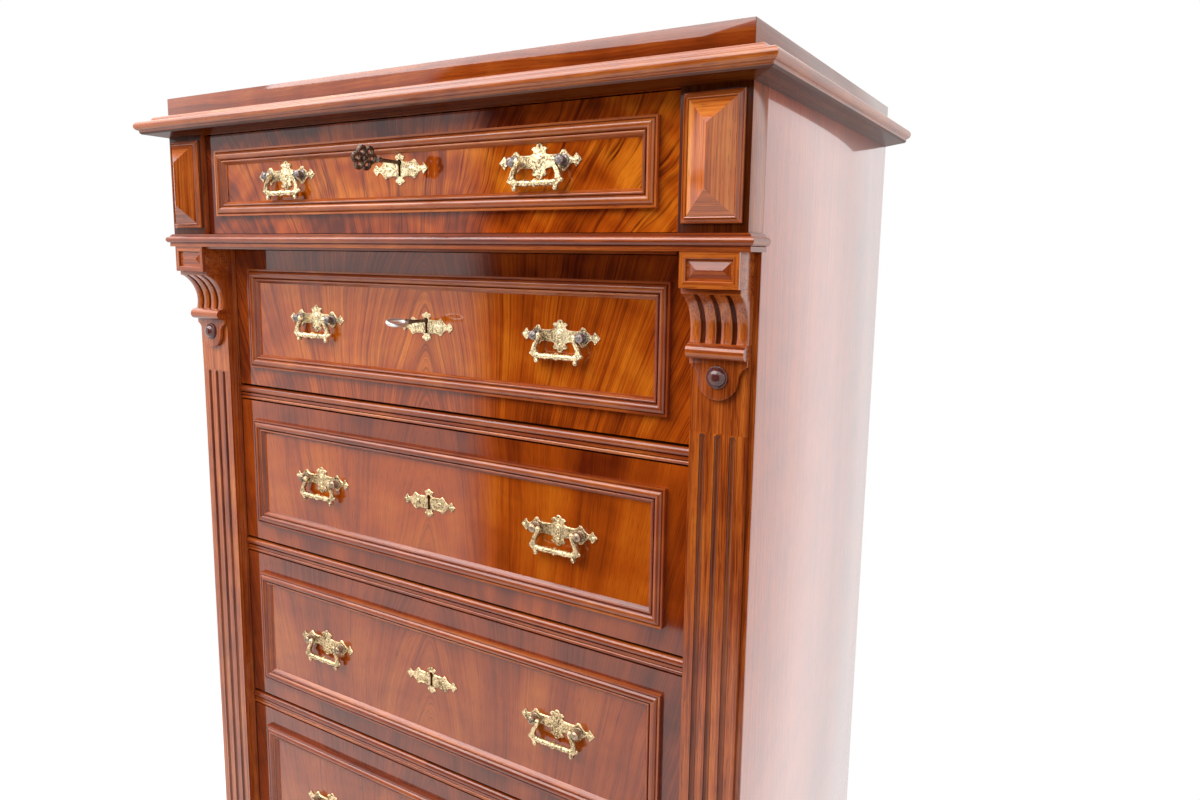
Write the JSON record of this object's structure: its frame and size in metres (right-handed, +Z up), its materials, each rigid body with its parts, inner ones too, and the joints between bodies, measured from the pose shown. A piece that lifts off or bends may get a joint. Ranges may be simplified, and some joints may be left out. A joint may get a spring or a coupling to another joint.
{
  "type": "semainier",
  "caption": "Tall seven-drawer walnut chest with a frieze drawer on corbels, fluted pilasters, moulded rails, brass drop handles and keys in the upper locks.",
  "frame": {"origin": "middle of the footprint at floor level, under the centre of the bounding box", "axes": "+Z up, -Y towards the user: the drawers open along -Y, +X to the right seen from behind the camera facing the front"},
  "size_m": [0.742, 0.4654, 1.4737],
  "materials": {
    "walnut": "French polished",
    "walnut_veneer": "figured veneer, French polished",
    "dark_walnut": "turned and polished",
    "pine": "planed, unfinished",
    "brass": "lacquered",
    "bronze": "dark patina",
    "steel": "filed",
    "plated_steel": "nickel plated"
  },
  "bodies": {
    "cabinet": {"side_left": "walnut", "side_right": "walnut", "cornice": "walnut", "waist_moulding": "walnut", "corner_blocks": "walnut", "corbels": "walnut", "pilasters": "walnut", "rails": "walnut", "plinth": "walnut", "feet": "walnut", "top_box": "walnut", "corner_pyramids": "walnut_veneer", "bosses": "dark_walnut", "back_panels": "pine", "runners": "pine", "dust_boards": "pine"},
    "drawer_1": {"drawer_1_front": "walnut_veneer", "drawer_1_box": "pine", "drawer_1_brass": "brass"},
    "drawer_1_bolt": {"drawer_1_bolt": "steel"},
    "drawer_1_bail_right": {"drawer_1_bail_right": "brass"},
    "drawer_1_bail_left": {"drawer_1_bail_left": "brass"},
    "drawer_2": {"drawer_2_front": "walnut_veneer", "drawer_2_box": "pine", "drawer_2_brass": "brass"},
    "drawer_2_bolt": {"drawer_2_bolt": "steel"},
    "drawer_2_bail_right": {"drawer_2_bail_right": "brass"},
    "drawer_2_bail_left": {"drawer_2_bail_left": "brass"},
    "drawer_3": {"drawer_3_front": "walnut_veneer", "drawer_3_box": "pine", "drawer_3_brass": "brass"},
    "drawer_3_bolt": {"drawer_3_bolt": "steel"},
    "drawer_3_bail_right": {"drawer_3_bail_right": "brass"},
    "drawer_3_bail_left": {"drawer_3_bail_left": "brass"},
    "drawer_4": {"drawer_4_front": "walnut_veneer", "drawer_4_box": "pine", "drawer_4_brass": "brass"},
    "drawer_4_bolt": {"drawer_4_bolt": "steel"},
    "drawer_4_bail_right": {"drawer_4_bail_right": "brass"},
    "drawer_4_bail_left": {"drawer_4_bail_left": "brass"},
    "drawer_5": {"drawer_5_front": "walnut_veneer", "drawer_5_box": "pine", "drawer_5_brass": "brass"},
    "drawer_5_bolt": {"drawer_5_bolt": "steel"},
    "drawer_5_bail_right": {"drawer_5_bail_right": "brass"},
    "drawer_5_bail_left": {"drawer_5_bail_left": "brass"},
    "drawer_6": {"drawer_6_front": "walnut_veneer", "drawer_6_box": "pine", "drawer_6_brass": "brass"},
    "drawer_6_bolt": {"drawer_6_bolt": "steel"},
    "drawer_6_bail_right": {"drawer_6_bail_right": "brass"},
    "drawer_6_bail_left": {"drawer_6_bail_left": "brass"},
    "drawer_7": {"drawer_7_front": "walnut_veneer", "drawer_7_box": "pine", "drawer_7_brass": "brass"},
    "drawer_7_bolt": {"drawer_7_bolt": "steel"},
    "drawer_7_bail_right": {"drawer_7_bail_right": "brass"},
    "drawer_7_bail_left": {"drawer_7_bail_left": "brass"},
    "key_1": {"key_1": "bronze"},
    "key_2": {"key_2": "plated_steel"}
  },
  "joints": [
    {"name": "drawer_1_slide", "type": "slide", "parent": "cabinet", "child": "drawer_1", "axis": [0, -1, 0], "range_m": [0, 0.29]},
    {"name": "drawer_1_bolt_slide", "type": "slide", "parent": "drawer_1", "child": "drawer_1_bolt", "axis": [0, 0, 1], "range_m": [0, 0.008]},
    {"name": "drawer_1_bail_right_swing", "type": "hinge", "parent": "drawer_1", "child": "drawer_1_bail_right", "pos_m": [0.1575, -0.1799, 1.38375], "axis": [-1, 0, 0], "range_deg": [0, 88]},
    {"name": "drawer_1_bail_left_swing", "type": "hinge", "parent": "drawer_1", "child": "drawer_1_bail_left", "pos_m": [-0.1575, -0.1799, 1.38375], "axis": [-1, 0, 0], "range_deg": [0, 88]},
    {"name": "drawer_2_slide", "type": "slide", "parent": "cabinet", "child": "drawer_2", "axis": [0, -1, 0], "range_m": [0, 0.27]},
    {"name": "drawer_2_bolt_slide", "type": "slide", "parent": "drawer_2", "child": "drawer_2_bolt", "axis": [0, 0, 1], "range_m": [0, 0.008]},
    {"name": "drawer_2_bail_right_swing", "type": "hinge", "parent": "drawer_2", "child": "drawer_2_bail_right", "pos_m": [0.1575, -0.1469, 1.2355], "axis": [-1, 0, 0], "range_deg": [0, 88]},
    {"name": "drawer_2_bail_left_swing", "type": "hinge", "parent": "drawer_2", "child": "drawer_2_bail_left", "pos_m": [-0.1575, -0.1469, 1.2355], "axis": [-1, 0, 0], "range_deg": [0, 88]},
    {"name": "drawer_3_slide", "type": "slide", "parent": "cabinet", "child": "drawer_3", "axis": [0, -1, 0], "range_m": [0, 0.27]},
    {"name": "drawer_3_bolt_slide", "type": "slide", "parent": "drawer_3", "child": "drawer_3_bolt", "axis": [0, 0, 1], "range_m": [0, 0.008]},
    {"name": "drawer_3_bail_right_swing", "type": "hinge", "parent": "drawer_3", "child": "drawer_3_bail_right", "pos_m": [0.1575, -0.1469, 1.056], "axis": [-1, 0, 0], "range_deg": [0, 88]},
    {"name": "drawer_3_bail_left_swing", "type": "hinge", "parent": "drawer_3", "child": "drawer_3_bail_left", "pos_m": [-0.1575, -0.1469, 1.056], "axis": [-1, 0, 0], "range_deg": [0, 88]},
    {"name": "drawer_4_slide", "type": "slide", "parent": "cabinet", "child": "drawer_4", "axis": [0, -1, 0], "range_m": [0, 0.27]},
    {"name": "drawer_4_bolt_slide", "type": "slide", "parent": "drawer_4", "child": "drawer_4_bolt", "axis": [0, 0, 1], "range_m": [0, 0.008]},
    {"name": "drawer_4_bail_right_swing", "type": "hinge", "parent": "drawer_4", "child": "drawer_4_bail_right", "pos_m": [0.1575, -0.1469, 0.865], "axis": [-1, 0, 0], "range_deg": [0, 88]},
    {"name": "drawer_4_bail_left_swing", "type": "hinge", "parent": "drawer_4", "child": "drawer_4_bail_left", "pos_m": [-0.1575, -0.1469, 0.865], "axis": [-1, 0, 0], "range_deg": [0, 88]},
    {"name": "drawer_5_slide", "type": "slide", "parent": "cabinet", "child": "drawer_5", "axis": [0, -1, 0], "range_m": [0, 0.27]},
    {"name": "drawer_5_bolt_slide", "type": "slide", "parent": "drawer_5", "child": "drawer_5_bolt", "axis": [0, 0, 1], "range_m": [0, 0.008]},
    {"name": "drawer_5_bail_right_swing", "type": "hinge", "parent": "drawer_5", "child": "drawer_5_bail_right", "pos_m": [0.1575, -0.1469, 0.663], "axis": [-1, 0, 0], "range_deg": [0, 88]},
    {"name": "drawer_5_bail_left_swing", "type": "hinge", "parent": "drawer_5", "child": "drawer_5_bail_left", "pos_m": [-0.1575, -0.1469, 0.663], "axis": [-1, 0, 0], "range_deg": [0, 88]},
    {"name": "drawer_6_slide", "type": "slide", "parent": "cabinet", "child": "drawer_6", "axis": [0, -1, 0], "range_m": [0, 0.27]},
    {"name": "drawer_6_bolt_slide", "type": "slide", "parent": "drawer_6", "child": "drawer_6_bolt", "axis": [0, 0, 1], "range_m": [0, 0.008]},
    {"name": "drawer_6_bail_right_swing", "type": "hinge", "parent": "drawer_6", "child": "drawer_6_bail_right", "pos_m": [0.1575, -0.1469, 0.45], "axis": [-1, 0, 0], "range_deg": [0, 88]},
    {"name": "drawer_6_bail_left_swing", "type": "hinge", "parent": "drawer_6", "child": "drawer_6_bail_left", "pos_m": [-0.1575, -0.1469, 0.45], "axis": [-1, 0, 0], "range_deg": [0, 88]},
    {"name": "drawer_7_slide", "type": "slide", "parent": "cabinet", "child": "drawer_7", "axis": [0, -1, 0], "range_m": [0, 0.27]},
    {"name": "drawer_7_bolt_slide", "type": "slide", "parent": "drawer_7", "child": "drawer_7_bolt", "axis": [0, 0, 1], "range_m": [0, 0.008]},
    {"name": "drawer_7_bail_right_swing", "type": "hinge", "parent": "drawer_7", "child": "drawer_7_bail_right", "pos_m": [0.1575, -0.1469, 0.226], "axis": [-1, 0, 0], "range_deg": [0, 88]},
    {"name": "drawer_7_bail_left_swing", "type": "hinge", "parent": "drawer_7", "child": "drawer_7_bail_left", "pos_m": [-0.1575, -0.1469, 0.226], "axis": [-1, 0, 0], "range_deg": [0, 88]},
    {"name": "key_1_turn", "type": "hinge", "parent": "drawer_1", "child": "key_1", "pos_m": [0, -0.1743, 1.38975], "axis": [0, 1, 0], "range_deg": [0, 90]},
    {"name": "key_2_turn", "type": "hinge", "parent": "drawer_2", "child": "key_2", "pos_m": [0, -0.1413, 1.2415], "axis": [0, 1, 0], "range_deg": [0, 90]}
  ],
  "couplings": [
    {"joint": "drawer_1_bolt_slide", "follows": "key_1_turn", "m_per_rad": 0.00509},
    {"joint": "drawer_2_bolt_slide", "follows": "key_2_turn", "m_per_rad": 0.00509}
  ]
}
